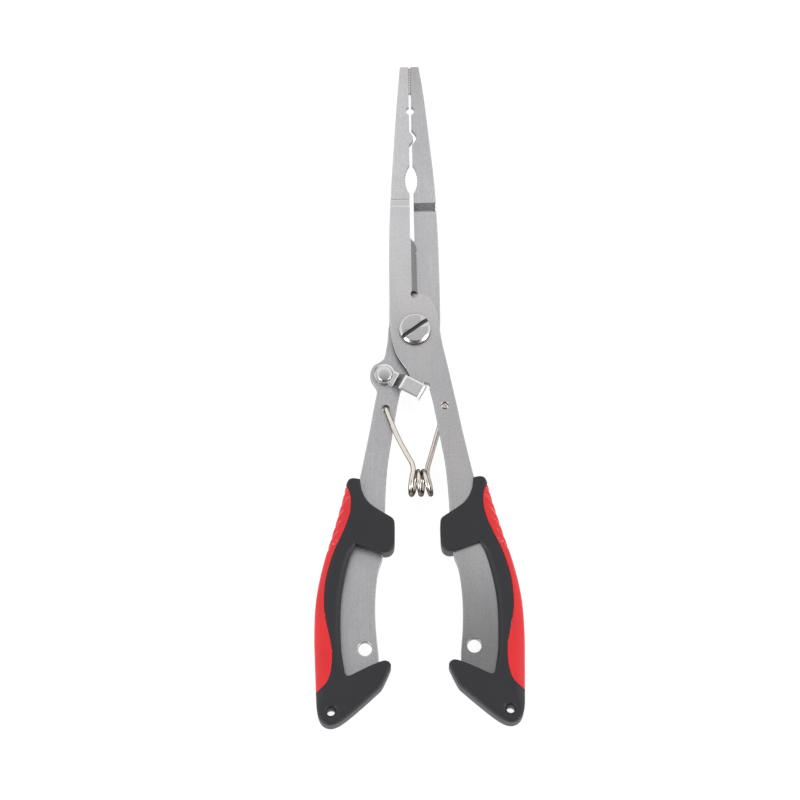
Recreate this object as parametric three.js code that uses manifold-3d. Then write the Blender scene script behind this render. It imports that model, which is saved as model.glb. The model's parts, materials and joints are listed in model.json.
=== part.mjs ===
// Long-nose fishing pliers. Millimetres, +Z up: they lie flat on their back, jaws towards +Y.
//
// Two flat stainless levers cross at a slotted pivot screw. The front lever is the left jaw and the
// right handle, the rear lever is the right jaw and the left handle, and they shear on the plane z = 0.
// Each jaw is joggled by half a plate, so that the two tips bite in one plane. A bevelled blade on each
// lever makes a scissor cutter above the pivot. A wire spring joins the handles, a bent sheet latch on
// the rear lever hooks a catch on the front one, and each handle has a black grip with a red inlay.
//
// Everything is drawn about a point on the jaws' centre line, just beside the pivot axis, and the
// finished group is moved at the end so that its origin is the bottom centre of its bounding box.
import * as THREE from 'three';
import { mergeVertices } from 'three/addons/utils/BufferGeometryUtils.js';
import Module from 'manifold-3d';

const wasm = await Module();
wasm.setup();

// ---------------------------------------------------------------- driving dimensions
const PLATE = 3.0;                 // thickness of each stamped lever
const SHEAR_GAP = 0.1;             // from the shear plane to each lever's inner face
const FACE_GAP = 0.05;             // between flat faces that touch on the real object
const FIT_GAP = 0.3;               // round a lever inside its moulded grip
const INLAY_GAP = 0.25;            // between a grip and its inlay

const PIVOT = { x: 0.3, y: 0.5 };
const TIP_Y = 90.5;
const TIP_WIDTH = 3.1;             // of one jaw, at its tip
const FRONT_JOGGLE = [42.1, 44.9]; // where the front lever steps back, along Y
const REAR_JOGGLE = [41.2, 43.5];  // where the rear lever steps forward

const PARTING = 0.06;              // tooth crests to the centre line, jaws closed
const TOOTH = { pitch: 0.9, depth: 0.3, from: 81.4, to: 89.6 };
const CRIMP_HOLE = { y: 75.4, radius: 1.45 };
const OVAL = { from: 46.9, to: 56.6, rim: 0.65, depth: 1.65, roundness: 0.8, serration: 0.3, teeth: 9 };

const BLADE = { edge: 1.35, back: -0.55, land: 0.4, from: 13.7, to: 28.0 };
const BLADE_SERRATION = { pitch: 0.95, depth: 0.5 };
const BEVEL = { length: 21, over: 0.6 };  // of the wedge that grinds the blade
const KEYHOLE = { x: 0.4, y: 12.4, radius: 1.3 };

const SHANK_RADIUS = 3.0;          // pivot screw
const BORE_RADIUS = 3.12;
const HEAD = {
  radius: 5.15, flat: 4.4, height: 1.85, slotWidth: 1.2, slotDepth: 1.0, slotAngle: 34.5,
};
const WASHER = { radius: 5.6, thickness: 0.35 };
const NUT = { flats: 10, thickness: 1.45 };

const GRIP_HALF = 5.0;             // the grips are 10 mm thick, centred on the shear plane
const LANYARD_HOLE = { x: 17.4, y: -103.6, radius: 2.25 };
const TAIL_HOLE = { x: 28.5, y: -124.2, radius: 1.35 };

const EAR = { x: 9.8, y: -13.8, radius: 4.65 };
const LATCH = {
  angle: -29.5, sheet: 1.0, low: 0.4, high: 3.4, eye: 3.3, half: 2.45,
  riserFrom: 4.3, riserTo: 7.0, length: 14.3, tabBottom: 0.35,
};
const RIVET = {
  shank: 1.5, bore: 1.62, head: 2.75, dome: 1.0, rim: 0.45, rearHead: 2.5, rearHeight: 0.9,
};
const LATCH_WASHER = { inner: 1.7, outer: 3.0, thickness: 0.4 };

const SPRING_HOLE = { x: 9.55, y: -25.05, radius: 1.15 };
const WIRE_RADIUS = 0.8;
const COIL = { x: 1.3, y: -49.8, radius: 3.7, turns: 2.5, pitch: 2.4, fan: 0.7 };
const LEG_HEIGHT = 0.95;           // wire centre above the shear plane where a leg crosses its lever
const KNEE = { y: -44.4, height: 3.1, left: 0.55, right: -0.75, drop: 1.6 };
const BOW = 0.6;                   // how far the left leg bulges outwards

const ROUND = 48;                  // sides of round parts
const THROUGH = 6;                 // half the height of a tool that cuts right through
const REACH = 140;                 // longer than any part
const STEEL = { color: 0xc3c3c5, metalness: 0.9, roughness: 0.38 };
const WORN_STEEL = { color: 0xa9a7a5, metalness: 0.9, roughness: 0.45 };
const BRIGHT_STEEL = { color: 0xd8d6d2, metalness: 1.0, roughness: 0.22 };
const SPRING_STEEL = { color: 0xcfc6bd, metalness: 1.0, roughness: 0.25 };
const BLACK_PLASTIC = { color: 0x3a393e, metalness: 0.0, roughness: 0.55 };
const RED_RUBBER = { color: 0xee3c41, metalness: 0.0, roughness: 0.5 };

// ---------------------------------------------------------------- outlines
// Every outline is drawn for a lever with its jaw at -X and its handle at +X. The rear lever is the
// same drawing turned over about the Y axis. Handle outlines serve the grips of both sides too.
const FRONT_JAW = [
  [-TIP_WIDTH, TIP_Y], [-4.1, 80], [-5.4, 65], [-6.55, 50], [-7.4, 35], [-7.75, 22], [-7.8, 10],
  [-7.9, 4], [-7.5, -1.5], [-6.2, -7], [-4.4, -10.4], [-2.9, -12.5], [-1.9, -14.6], [-1.5, -16.4],
];
const REAR_JAW = [
  [-TIP_WIDTH, TIP_Y], [-4.6, 80], [-6.15, 65], [-7.55, 50], [-8.3, 35], [-8.6, 22], [-8.65, 10],
  [-8.6, 3], [-8.0, -1.5], [-6.8, -7], [-5, -10.4], [-3.5, -12.3], [-2.4, -14.6], [-2.0, -16.4],
];
const CATCH = [[-1.1, -17.9], [-0.8, -18.25], [1, -18.25], [2.5, -18.1], [2.95, -17.35], [4.65, -17.8]];
const PLAIN_CROTCH = [[-1.0, -16.7], [2.4, -17.1], [4.0, -17.9]];
const HANDLE_INNER = [
  [4.75, -19.2], [5.7, -23.2], [6.9, -29.8], [8.1, -36.5], [9.2, -43.1], [9.9, -50], [10.35, -58],
  [10.7, -66], [11.3, -73.8], [12.95, -79], [13.8, -86], [14, -92], [13.8, -98], [13.4, -102.5],
  [13.1, -106.6], [13.3, -112],
];
const TANG_END = [[15.2, -115.6], [20.8, -117], [24.2, -115.4]];
const TANG_OUTER = [
  [25.5, -112], [26.2, -106], [26.6, -99], [26.6, -92], [26, -84], [24.4, -76], [22.2, -68],
  [20.6, -62], [19.6, -56], [18.5, -49], [17.6, -45], [16.45, -39.6], [15, -33], [13.65, -26],
];
const HUB_OUTER = [[12.3, -19.5], [10.95, -12.8], [9.6, -6.6], [8.9, -3], [8.3, 1.5]];
const SHOULDER = [[8.3, 1.5], [7.6, 5.6], [6.3, 9.2], [4.7, 11.4], [2.9, 12.4]];
const BLADE_NOSE = [[BLADE.edge, BLADE.to], [1.1, 29.2], [0.4, 30.3], [-0.75, 31.4]];
const CRIMP_TOOTH = [[-0.5, 63.5], [0.1, 64.3], [0.7, 65.2], [0.85, 66], [0.5, 66.9], [-0.35, 68.3]];
const CRIMP_POCKET = [
  [-0.5, 63.8], [-1.3, 64.6], [-1.85, 65.6], [-1.9, 66.7], [-1.2, 67.9], [-0.35, 68.9],
];

const GRIP_TOP = [[18.2, -49.1], [20.5, -48.75], [21.7, -49.1], [22.3, -50]];
const GRIP_OUTER = [
  [22.8, -51.6], [25.2, -60], [27.5, -67.5], [30, -75.4], [32, -83.5], [33.1, -91],
  [33.5, -100], [33.4, -108], [33.2, -117], [33, -122.8], [32.3, -126], [30.9, -127.9], [28.7, -128.6],
  [26.2, -127.9], [23.3, -126], [19.5, -122.9], [15.7, -119.6], [12.6, -116.8],
];
const TAIL_SIDE = [[11.6, -115.2], [9.4, -110.5]];
const TAIL_TIP = [[9.2, -109.4], [9.8, -108.5], [11.2, -108.1]];
const TAIL_UPPER = [[14.6, -109.2], [18.4, -110.9], [22.2, -112.7], [23.2, -112.8]];
const WINDOW_OUTER = [
  [23.8, -112], [24.3, -109], [24.9, -104], [25.1, -96], [24.7, -88], [23.4, -80.6], [21.6, -74],
  [19.9, -70.3],
];
const GUARD_LOWER = [[15, -72], [11.2, -73.2], [9.4, -73.1], [8.1, -72.2], [7.5, -70.6]];
const GUARD_INNER = [[7.3, -66.5], [7.35, -63.3], [7.8, -62.2]];
const GUARD_UPPER = [[8.8, -61.4], [10.4, -60.4], [12.6, -59], [15, -57.2], [16.7, -55], [17.8, -52.3]];
const INLAY_INNER = [
  [22.9, -51], [21.7, -53.6], [21.4, -56.5], [21.75, -60], [23.05, -64], [24.9, -68.2], [26.9, -72.4],
  [28.5, -77], [29.8, -82], [30.4, -88], [30.2, -93], [29.2, -98.4], [28.2, -103.6], [28.1, -108],
  [28.9, -112.7], [30.7, -115.9], [33.9, -118.4],
];

// ---------------------------------------------------------------- drawing helpers
function smooth(points, stepsPerPoint = 3) {
  const spline = new THREE.SplineCurve(points.map(([x, y]) => new THREE.Vector2(x, y)));
  return spline.getPoints((points.length - 1) * stepsPerPoint).map((p) => [p.x, p.y]);
}

function shapeOf(points, side = 1) {
  return new THREE.Shape(points.map(([x, y]) => new THREE.Vector2(side * x, y)));
}

function toSolid(geometry) {
  geometry.deleteAttribute('normal');
  geometry.deleteAttribute('uv');
  const merged = mergeVertices(geometry, 1e-5);
  return new wasm.Manifold(new wasm.Mesh({
    numProp: 3,
    vertProperties: Float32Array.from(merged.attributes.position.array),
    triVerts: Uint32Array.from(merged.index.array),
  }));
}

function toGeometry(solid) {
  const mesh = solid.getMesh();
  const geometry = new THREE.BufferGeometry();
  geometry.setAttribute('position', new THREE.BufferAttribute(mesh.vertProperties, 3));
  geometry.setIndex(new THREE.BufferAttribute(mesh.triVerts, 1));
  return geometry;
}

function arcPoints(x, y, radius, from, to, step) {
  const points = [];
  for (let i = 0; i <= (to - from) / step; i += 1) {
    const angle = THREE.MathUtils.degToRad(from + i * step);
    points.push([x + radius * Math.cos(angle), y + radius * Math.sin(angle)]);
  }
  return points;
}

// A flat outline in X and Y, extruded between two heights.
function prism(points, low, high, side = 1) {
  const geometry = new THREE.ExtrudeGeometry(shapeOf(points, side), {
    depth: high - low, bevelEnabled: false,
  });
  geometry.translate(0, 0, low);
  return geometry;
}

// A round hole or pin along Z.
function rod(x, y, radius, low, high) {
  const geometry = new THREE.CylinderGeometry(radius, radius, high - low, ROUND);
  geometry.rotateX(Math.PI / 2);
  geometry.translate(x, y, (low + high) / 2);
  return geometry;
}

// A profile of [radius, height] points turned about the Z axis.
function turned(profile) {
  const geometry = new THREE.LatheGeometry(profile.map(([r, z]) => new THREE.Vector2(r, z)), ROUND);
  geometry.rotateX(Math.PI / 2);
  return geometry;
}

function ring(inner, outer, low, high) {
  return turned([[inner, low], [outer, low], [outer, high], [inner, high], [inner, low]]);
}

function part(name, geometry, finish) {
  const mesh = new THREE.Mesh(geometry, new THREE.MeshStandardMaterial(finish));
  mesh.name = name;
  return mesh;
}

// ---------------------------------------------------------------- levers
function bladeEdge() {
  const points = [[BLADE.edge, BLADE.from]];
  for (let y = BLADE.from + 1; y < BLADE.to - 1; y += BLADE_SERRATION.pitch) {
    points.push([BLADE.edge, y]);
    points.push([BLADE.edge - BLADE_SERRATION.depth, y + BLADE_SERRATION.pitch / 2]);
  }
  return points;
}

// The serrated half of the oval opening that grips round stock.
function ovalEdge() {
  const points = [];
  const steps = 2 * OVAL.teeth;
  for (let i = 0; i <= steps; i += 1) {
    const along = i / steps;
    const bulge = Math.sin(Math.PI * along);
    const bite = i % 2 === 1 ? OVAL.serration * bulge : 0;
    const depth = OVAL.depth * bulge ** OVAL.roundness;
    points.push([bite - OVAL.rim - depth, OVAL.from + along * (OVAL.to - OVAL.from)]);
  }
  return points;
}

function crimpHoleEdge() {
  return arcPoints(0, CRIMP_HOLE.y, CRIMP_HOLE.radius, 255, 105, -15);
}

function toothEdge() {
  const points = [];
  for (let y = TOOTH.from; y < TOOTH.to; y += TOOTH.pitch) {
    points.push([-PARTING - TOOTH.depth, y]);
    points.push([-PARTING, y + TOOTH.pitch / 2]);
  }
  return points;
}

function jawInner(crimp) {
  return [
    ...smooth(BLADE_NOSE), ...ovalEdge(), [-0.5, OVAL.to + 0.4],
    ...smooth(crimp), ...crimpHoleEdge(), ...toothEdge(), [-PARTING - 0.1, TIP_Y - 0.3], [-0.6, TIP_Y],
  ];
}

// The ear that carries the latch, on the outer edge of the rear lever's handle.
function earEdge() {
  const neck = [[12.5, -20.6], [12.3, -19.4], [12.5, -18.2]];
  const shoulder = [[10.9, -9.2], [9.9, -8.4], [9.4, -6.9], [8.6, -2.5], [8.3, 1.5]];
  return [...neck, ...arcPoints(EAR.x, EAR.y, EAR.radius, -40, 50, 10), ...shoulder];
}

function leverOutline({ jaw, crimp, crotch, hub }) {
  return [
    ...smooth(jaw), ...crotch, ...smooth(HANDLE_INNER), ...TANG_END,
    ...smooth(TANG_OUTER), ...hub, ...smooth(SHOULDER).slice(1), ...bladeEdge(), ...jawInner(crimp),
  ];
}

// The side profile that gives the plate its joggle, extruded along X.
function joggledStrip([start, end], layer) {
  const inner = SHEAR_GAP;
  const outer = SHEAR_GAP + PLATE;
  const profile = [
    [-REACH, inner], [start, inner], [end, -PLATE / 2], [REACH, -PLATE / 2],
    [REACH, PLATE / 2], [end, PLATE / 2], [start, outer], [-REACH, outer],
  ].map(([y, z]) => new THREE.Vector2(y, layer * z));
  const settings = { depth: REACH, bevelEnabled: false };
  const geometry = new THREE.ExtrudeGeometry(new THREE.Shape(profile), settings);
  geometry.translate(0, 0, -REACH / 2);
  // profile axes (Y, Z, X) -> world axes (X, Y, Z)
  geometry.applyMatrix4(new THREE.Matrix4().set(0, 0, 1, 0, 1, 0, 0, 0, 0, 1, 0, 0, 0, 0, 0, 1));
  return geometry;
}

// The wedge ground off the outer face of the blade, down to a narrow land at the cutting edge.
function bevelWedge(side, layer) {
  const slope = (SHEAR_GAP + PLATE - BLADE.land) / (BLADE.edge - BLADE.back);
  const { length, over } = BEVEL;
  const section = [
    [BLADE.back - over, SHEAR_GAP + PLATE + over * slope],
    [BLADE.edge + over, BLADE.land - over * slope],
    [BLADE.edge + 2, BLADE.land - over * slope],
    [BLADE.edge + 2, SHEAR_GAP + PLATE + over * slope],
  ].map(([x, z]) => new THREE.Vector2(side * x, layer * z));
  const settings = { depth: length, bevelEnabled: false };
  const geometry = new THREE.ExtrudeGeometry(new THREE.Shape(section), settings);
  // profile axes (X, Z, -Y) -> world axes, starting at the keyhole and running to the joggle
  geometry.rotateX(Math.PI / 2);
  geometry.translate(0, KEYHOLE.y + length, 0);
  return geometry;
}

function lever(side, layer, { joggle, holes, ...edges }) {
  let solid = toSolid(prism(leverOutline(edges), -THROUGH, THROUGH, side));
  solid = solid.intersect(toSolid(joggledStrip(joggle, layer)));
  solid = solid.subtract(toSolid(bevelWedge(side, layer)));
  for (const hole of holes) {
    solid = solid.subtract(toSolid(rod(side * hole.x, hole.y, hole.radius, -THROUGH, THROUGH)));
  }
  return toGeometry(solid);
}

// side * x undoes the turning over, since both bores are on one axis
const pivotBore = (side) => ({ x: side * PIVOT.x, y: PIVOT.y, radius: BORE_RADIUS });
const frontLever = lever(1, 1, {
  joggle: FRONT_JOGGLE, jaw: FRONT_JAW, crimp: CRIMP_TOOTH, crotch: CATCH, hub: smooth(HUB_OUTER),
  holes: [pivotBore(1), KEYHOLE, SPRING_HOLE, LANYARD_HOLE],
});
const rearLever = lever(-1, -1, {
  joggle: REAR_JOGGLE, jaw: REAR_JAW, crimp: CRIMP_POCKET, crotch: PLAIN_CROTCH, hub: earEdge(),
  holes: [pivotBore(-1), SPRING_HOLE, LANYARD_HOLE, { ...EAR, radius: RIVET.bore }],
});

// ---------------------------------------------------------------- pivot hardware
const LEVER_FACE = SHEAR_GAP + PLATE;

function pivotScrew() {
  const seat = LEVER_FACE + FACE_GAP;
  const body = toSolid(turned([
    [0, -GRIP_HALF + 0.2], [SHANK_RADIUS - 0.4, -GRIP_HALF + 0.2], [SHANK_RADIUS, -GRIP_HALF + 0.6],
    [SHANK_RADIUS, seat], [HEAD.radius, seat], [HEAD.radius, seat + HEAD.height - 0.9],
    [HEAD.flat, seat + HEAD.height], [0, seat + HEAD.height],
  ]));
  const slot = new THREE.BoxGeometry(4 * HEAD.radius, HEAD.slotWidth, 2 * HEAD.slotDepth);
  slot.rotateZ(THREE.MathUtils.degToRad(HEAD.slotAngle));
  slot.translate(0, 0, seat + HEAD.height);
  return toGeometry(body.subtract(toSolid(slot)));
}

const washerTop = -(LEVER_FACE + FACE_GAP);
const pivotWasher = ring(SHANK_RADIUS + 0.15, WASHER.radius, washerTop - WASHER.thickness, washerTop);

function pivotNut() {
  const corner = NUT.flats / 2 / Math.cos(Math.PI / 6);
  const blank = new THREE.CylinderGeometry(corner, corner, NUT.thickness, 6);
  blank.rotateX(Math.PI / 2);
  blank.translate(0, 0, -GRIP_HALF + NUT.thickness / 2);
  return toGeometry(toSolid(blank).subtract(toSolid(rod(0, 0, BORE_RADIUS, -GRIP_HALF - 1, 0))));
}

// ---------------------------------------------------------------- latch
// Drawn with its rivet at the origin and its free end along +X, then turned into place.
function latchPlan() {
  const points = arcPoints(0, 0, LATCH.eye, 75, 285, 15);
  const end = LATCH.length + 1;
  return [...points, [LATCH.riserTo, -LATCH.half], [end, -LATCH.half], [end, LATCH.half],
    [LATCH.riserTo - 1, LATCH.half]];
}

// The strip seen from its edge: low flat, riser, high flat that clears the front lever, and end tab.
function latchProfile() {
  const { low, high, sheet, riserFrom, riserTo, length, tabBottom } = LATCH;
  const top = [[-5, low + sheet], [riserFrom - 0.3, low + sheet], [riserFrom + 0.2, low + sheet + 0.25],
    [riserTo - 0.5, high + sheet - 0.3], [riserTo + 0.2, high + sheet], [length - 0.9, high + sheet],
    [length - 0.25, high + sheet - 0.25], [length, high + sheet - 0.9], [length, tabBottom]];
  const under = [[length - sheet, tabBottom], [length - sheet, high - 0.15], [length - sheet - 0.15, high],
    [riserTo + 0.6, high], [riserTo + 0.2, high - 0.25], [riserFrom + 0.9, low + 0.3],
    [riserFrom + 0.3, low], [-5, low]];
  return [...top, ...under];
}

function latch() {
  const strip = new THREE.ExtrudeGeometry(shapeOf(latchProfile()), { depth: 12, bevelEnabled: false });
  strip.rotateX(Math.PI / 2);
  strip.translate(0, 6, 0);
  let solid = toSolid(prism(latchPlan(), -1, 8)).intersect(toSolid(strip));
  solid = solid.subtract(toSolid(rod(0, 0, RIVET.bore, -1, 8)));
  return toGeometry(solid);
}

function latchRivet() {
  const under = LATCH.low + LATCH.sheet + FACE_GAP;
  const rear = -(LEVER_FACE + FACE_GAP);
  const dome = arcPoints(0, 0, 1, 0, 75, 15).map(([across, up]) => (
    [RIVET.head * across, under + RIVET.rim + (RIVET.dome - RIVET.rim) * up]));
  return turned([
    [0, rear - RIVET.rearHeight], [RIVET.rearHead - 0.4, rear - RIVET.rearHeight],
    [RIVET.rearHead, rear - 0.4], [RIVET.rearHead, rear], [RIVET.shank, rear], [RIVET.shank, under],
    [RIVET.head, under],
    ...dome, [0, under + RIVET.dome],
  ]);
}

// ---------------------------------------------------------------- spring
// One wire: out of the left hole, down the front to the coil, round it, and up the back to the right
// hole. Its coil lies across the handles, about an axis along X, and its turns fan out downwards.
function coilPoint(turn) {
  const angle = 2 * Math.PI * (turn + 0.25);
  const pitch = COIL.pitch - COIL.fan * Math.cos(angle);
  return new THREE.Vector3(
    COIL.x + (turn - COIL.turns / 2) * pitch,
    COIL.y + COIL.radius * Math.cos(angle),
    COIL.radius * Math.sin(angle),
  );
}

// A leg's centre line from inside its lever's hole to the coil. The left leg, side -1, is in front.
function legPoints(side) {
  const lift = -side;
  const hole = new THREE.Vector2(side * SPRING_HOLE.x, SPRING_HOLE.y);
  const [start, shift, bow] = side < 0 ? [0, KNEE.left, -BOW] : [COIL.turns, KNEE.right, 0];
  const kneeX = coilPoint(start).x + shift;
  const run = new THREE.Vector2(kneeX, KNEE.y).sub(hole);
  const point = (share, height) => {
    const bulge = bow * Math.sin(Math.PI * share);
    return new THREE.Vector3(hole.x + share * run.x + bulge, hole.y + share * run.y, lift * height);
  };
  return [
    new THREE.Vector3(hole.x, hole.y, -lift * (SHEAR_GAP + PLATE - 0.4)),
    new THREE.Vector3(hole.x, hole.y, -lift * 1.2),
    new THREE.Vector3(hole.x, hole.y, 0),
    point(0.025, LEG_HEIGHT * 0.75), point(0.07, LEG_HEIGHT), point(0.14, LEG_HEIGHT + 0.15),
    point(0.35, LEG_HEIGHT + 0.6), point(0.6, LEG_HEIGHT + 1.15), point(0.85, KNEE.height - 0.35),
    point(0.97, KNEE.height - 0.05),
    new THREE.Vector3(kneeX - side * 0.1, KNEE.y - KNEE.drop, lift * (KNEE.height + 0.3)),
  ];
}

function springHalf(side) {
  const split = COIL.turns / 2;
  const gap = 0.008;
  const points = legPoints(side);
  for (let i = 0; i <= 20; i += 1) {
    const share = (i / 20) * (split - gap);
    points.push(coilPoint(side < 0 ? share : COIL.turns - share));
  }
  const section = new THREE.Shape();
  section.absarc(0, 0, WIRE_RADIUS, 0, 2 * Math.PI);
  return new THREE.ExtrudeGeometry(section, {
    steps: 70, curveSegments: 5, bevelEnabled: false, extrudePath: new THREE.CatmullRomCurve3(points),
  });
}

// ---------------------------------------------------------------- grips
function gripOutline() {
  return [
    ...GRIP_TOP, ...smooth(GRIP_OUTER), ...TAIL_SIDE, ...TAIL_TIP, ...TAIL_UPPER,
    ...smooth(WINDOW_OUTER), ...GUARD_LOWER, ...GUARD_INNER, ...smooth(GUARD_UPPER),
  ];
}

// Everything outside the inlay's inner edge, grown inwards by a gap.
function inlayMask(gap) {
  const edge = smooth(INLAY_INNER).map(([x, y]) => [x - gap, y]);
  return [[40, edge[0][1] + gap], ...edge, [40, edge[edge.length - 1][1] - gap]];
}

// The lever's tang, grown by the fit gap, as the pocket that the grip is moulded with.
function tangPocket() {
  const inner = smooth(HANDLE_INNER).filter(([, y]) => y < -44).map(([x, y]) => [x - FIT_GAP, y]);
  const end = TANG_END.map(([x, y]) => [x, y - FIT_GAP]);
  const outer = smooth(TANG_OUTER).filter(([, y]) => y < -44).map(([x, y]) => [x + FIT_GAP, y]);
  return [...inner, ...end, ...outer];
}

function grip(side, layer) {
  const faces = [layer * (SHEAR_GAP - FACE_GAP), layer * (LEVER_FACE + FACE_GAP)].sort((a, b) => a - b);
  let solid = toSolid(prism(gripOutline(), -GRIP_HALF, GRIP_HALF, side));
  solid = solid.subtract(toSolid(prism(tangPocket(), faces[0], faces[1], side)));
  solid = solid.subtract(toSolid(prism(inlayMask(INLAY_GAP), -THROUGH, THROUGH, side)));
  const eyelet = rod(side * TAIL_HOLE.x, TAIL_HOLE.y, TAIL_HOLE.radius, -THROUGH, THROUGH);
  return toGeometry(solid.subtract(toSolid(eyelet)));
}

function inlay(side) {
  const body = toSolid(prism(gripOutline(), -GRIP_HALF, GRIP_HALF, side));
  return toGeometry(body.intersect(toSolid(prism(inlayMask(0), -THROUGH, THROUGH, side))));
}

// ---------------------------------------------------------------- assembly
function placed(mesh, x, y, angle = 0) {
  mesh.position.set(x, y, 0);
  mesh.rotation.z = THREE.MathUtils.degToRad(angle);
  return mesh;
}

const atPivot = (mesh) => placed(mesh, PIVOT.x, PIVOT.y);
const atRivet = (mesh, angle) => placed(mesh, -EAR.x, EAR.y, angle);
const latchWasher = ring(LATCH_WASHER.inner, LATCH_WASHER.outer, -FACE_GAP,
  LATCH_WASHER.thickness - FACE_GAP);

const pliers = new THREE.Group();
pliers.add(
  part('front_lever', frontLever, STEEL),
  part('rear_lever', rearLever, WORN_STEEL),
  atPivot(part('pivot_screw', pivotScrew(), BRIGHT_STEEL)),
  atPivot(part('pivot_washer', pivotWasher, STEEL)),
  atPivot(part('pivot_nut', pivotNut(), STEEL)),
  atRivet(part('latch', latch(), BRIGHT_STEEL), LATCH.angle),
  atRivet(part('latch_rivet', latchRivet(), STEEL)),
  atRivet(part('latch_washer', latchWasher, STEEL)),
  part('spring_left_half', springHalf(-1), SPRING_STEEL),
  part('spring_right_half', springHalf(1), SPRING_STEEL),
  part('left_grip', grip(-1, -1), BLACK_PLASTIC),
  part('right_grip', grip(1, 1), BLACK_PLASTIC),
  part('left_inlay', inlay(-1), RED_RUBBER),
  part('right_inlay', inlay(1), RED_RUBBER),
);

pliers.updateMatrixWorld(true);
const box = new THREE.Box3().setFromObject(pliers, true);
pliers.position.set(-(box.min.x + box.max.x) / 2, -(box.min.y + box.max.y) / 2, -box.min.z);

export default pliers;
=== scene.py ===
"""Long-nose fishing pliers: the fine surfaces, materials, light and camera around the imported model.

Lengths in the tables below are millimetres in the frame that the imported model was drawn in: +X to the
right handle, +Y to the jaw tips, z = 0 on the plane where the two levers slide on each other, and the
origin on the jaws' centre line, just beside the pivot axis.
"""

import json
import math

import bmesh
import bpy
import numpy as np
from mathutils import Matrix, Vector
from mathutils.geometry import delaunay_2d_cdt


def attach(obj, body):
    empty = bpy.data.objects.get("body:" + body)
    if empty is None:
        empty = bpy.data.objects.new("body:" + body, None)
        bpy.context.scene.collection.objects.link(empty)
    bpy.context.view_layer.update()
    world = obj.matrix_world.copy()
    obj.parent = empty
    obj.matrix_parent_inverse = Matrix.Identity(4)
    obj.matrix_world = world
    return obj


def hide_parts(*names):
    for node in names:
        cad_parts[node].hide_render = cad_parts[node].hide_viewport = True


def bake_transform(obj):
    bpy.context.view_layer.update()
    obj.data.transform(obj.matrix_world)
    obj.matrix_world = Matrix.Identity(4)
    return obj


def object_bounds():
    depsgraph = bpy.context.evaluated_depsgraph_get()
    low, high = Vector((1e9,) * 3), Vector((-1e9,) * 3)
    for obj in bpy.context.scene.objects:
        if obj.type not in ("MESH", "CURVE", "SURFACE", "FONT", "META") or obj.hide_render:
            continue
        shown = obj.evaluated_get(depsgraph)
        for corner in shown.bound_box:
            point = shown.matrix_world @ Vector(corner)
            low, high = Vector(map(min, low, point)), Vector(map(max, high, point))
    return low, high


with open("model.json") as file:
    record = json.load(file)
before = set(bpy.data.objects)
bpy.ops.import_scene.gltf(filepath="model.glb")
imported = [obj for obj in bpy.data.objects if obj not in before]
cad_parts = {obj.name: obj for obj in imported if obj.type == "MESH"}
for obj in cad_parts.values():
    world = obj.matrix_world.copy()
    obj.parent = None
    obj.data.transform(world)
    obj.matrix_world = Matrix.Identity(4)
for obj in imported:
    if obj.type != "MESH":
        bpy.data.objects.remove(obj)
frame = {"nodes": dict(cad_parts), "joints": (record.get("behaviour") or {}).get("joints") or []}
CAD_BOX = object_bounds()

MM = 0.001
JOINT_PLACES = {j["name"]: Vector(j["pos_m"]) for j in frame["joints"]}
PIVOT = JOINT_PLACES["pivot"]
ORIGIN = PIVOT - Vector((0.3, 0.5, 0)) * MM
RIVET_PLACE = JOINT_PLACES["latch_turn"]

# ---------------------------------------------------------------- dimensions
JOGGLES = {
    "front_lever": {"start": 42.1, "end": 44.9, "shift": -1.6},
    "rear_lever": {"start": 41.2, "end": 43.5, "shift": 1.6},
}
BEND_LENGTH = 0.4                    # over which the plate rounds into and out of its joggle
BEND_SLICES = 12
EDGE_ROUND = 0.26                    # on the outer edges of the levers
FINE_ROUND = 0.05                    # on teeth and blades
FINE_ZONE = {"half_width": 2.6, "from": 11.0}
KEYHOLE_ZONE = {"half_width": 2.2, "from": 10.5, "to": 13.9}
HUB_ZONE = {"from": -16.2, "to": -4.0}
# faces with less than this of their normal along z are sides of a plate, of the screw, the latch, the
# rivet and the wire, which are painted darker as shade; the plates' sides are also darker for their sheared
# finish
SIDE_SLOPE, RIM_SLOPE, LATCH_SLOPE, RIVET_SLOPE, WIRE_SLOPE = 0.62, 0.45, 0.3, 0.5, 0.66
WELD = 0.001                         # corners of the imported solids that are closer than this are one

GRIP_HALF = 5.0                      # half the thickness of a grip
RADII = {"plain": 0.85, "outer": 3.0, "window": 2.1, "hole": 0.45, "seam": 0.3}
# where the larger radii apply, each limit with the stretch over which it fades
PALM_ZONE = {"facing": (0.3, 0.9), "x": (21, 23), "from": (-127, -118), "to": (-56, -50)}
WINDOW_ZONE = {"facing": (0.2, 0.8), "x": (18.5, 20.5), "from": (-111, -105), "to": (-74, -70.5)}
WALL_STEP = 0.45                     # between points along a grip's outline
HOLE_GIRTH = 20                      # an outline shorter than this is a hole
ROW_ANGLES = (14, 28, 44, 60, 75, 90)
ROW_CLEARANCE = 0.93                 # share of its depth that a row's point keeps from every wall
GRID_STEP = 1.3
GRID_CLEARANCE = 0.4                 # between the loose grid and the walls
SEAM_REACH = 0.5                     # walls of grip and inlay closer than this face each other
SEAM_CLOSING = 0.85                  # share of the gap between them that the inlay fills
SEAM_SINK = 0.6                      # share of its full drop that a face falls at the seam

# "full" is the share of their reach over which the grooves keep their depth, and "inset" how far they
# draw the outer wall in, as a share of their depth, within "inset_reach" of it
GROOVES = {"first": -53.6, "pitch": 3.55, "count": 6, "width": 1.5, "depth": 0.55, "reach": 2.9, "full": 0.4,
           "slant": 1.25, "inset": 0.35, "inset_reach": 0.8}
PALM_LINE = {"x": 24.3, "y": -57.0, "slope": -0.285}    # the palm's edge beside the grooves
HIGHLIGHT_FROM = 0.33                     # groove depth from which the rubber is painted paler, as a highlight on the grooves' walls

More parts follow.
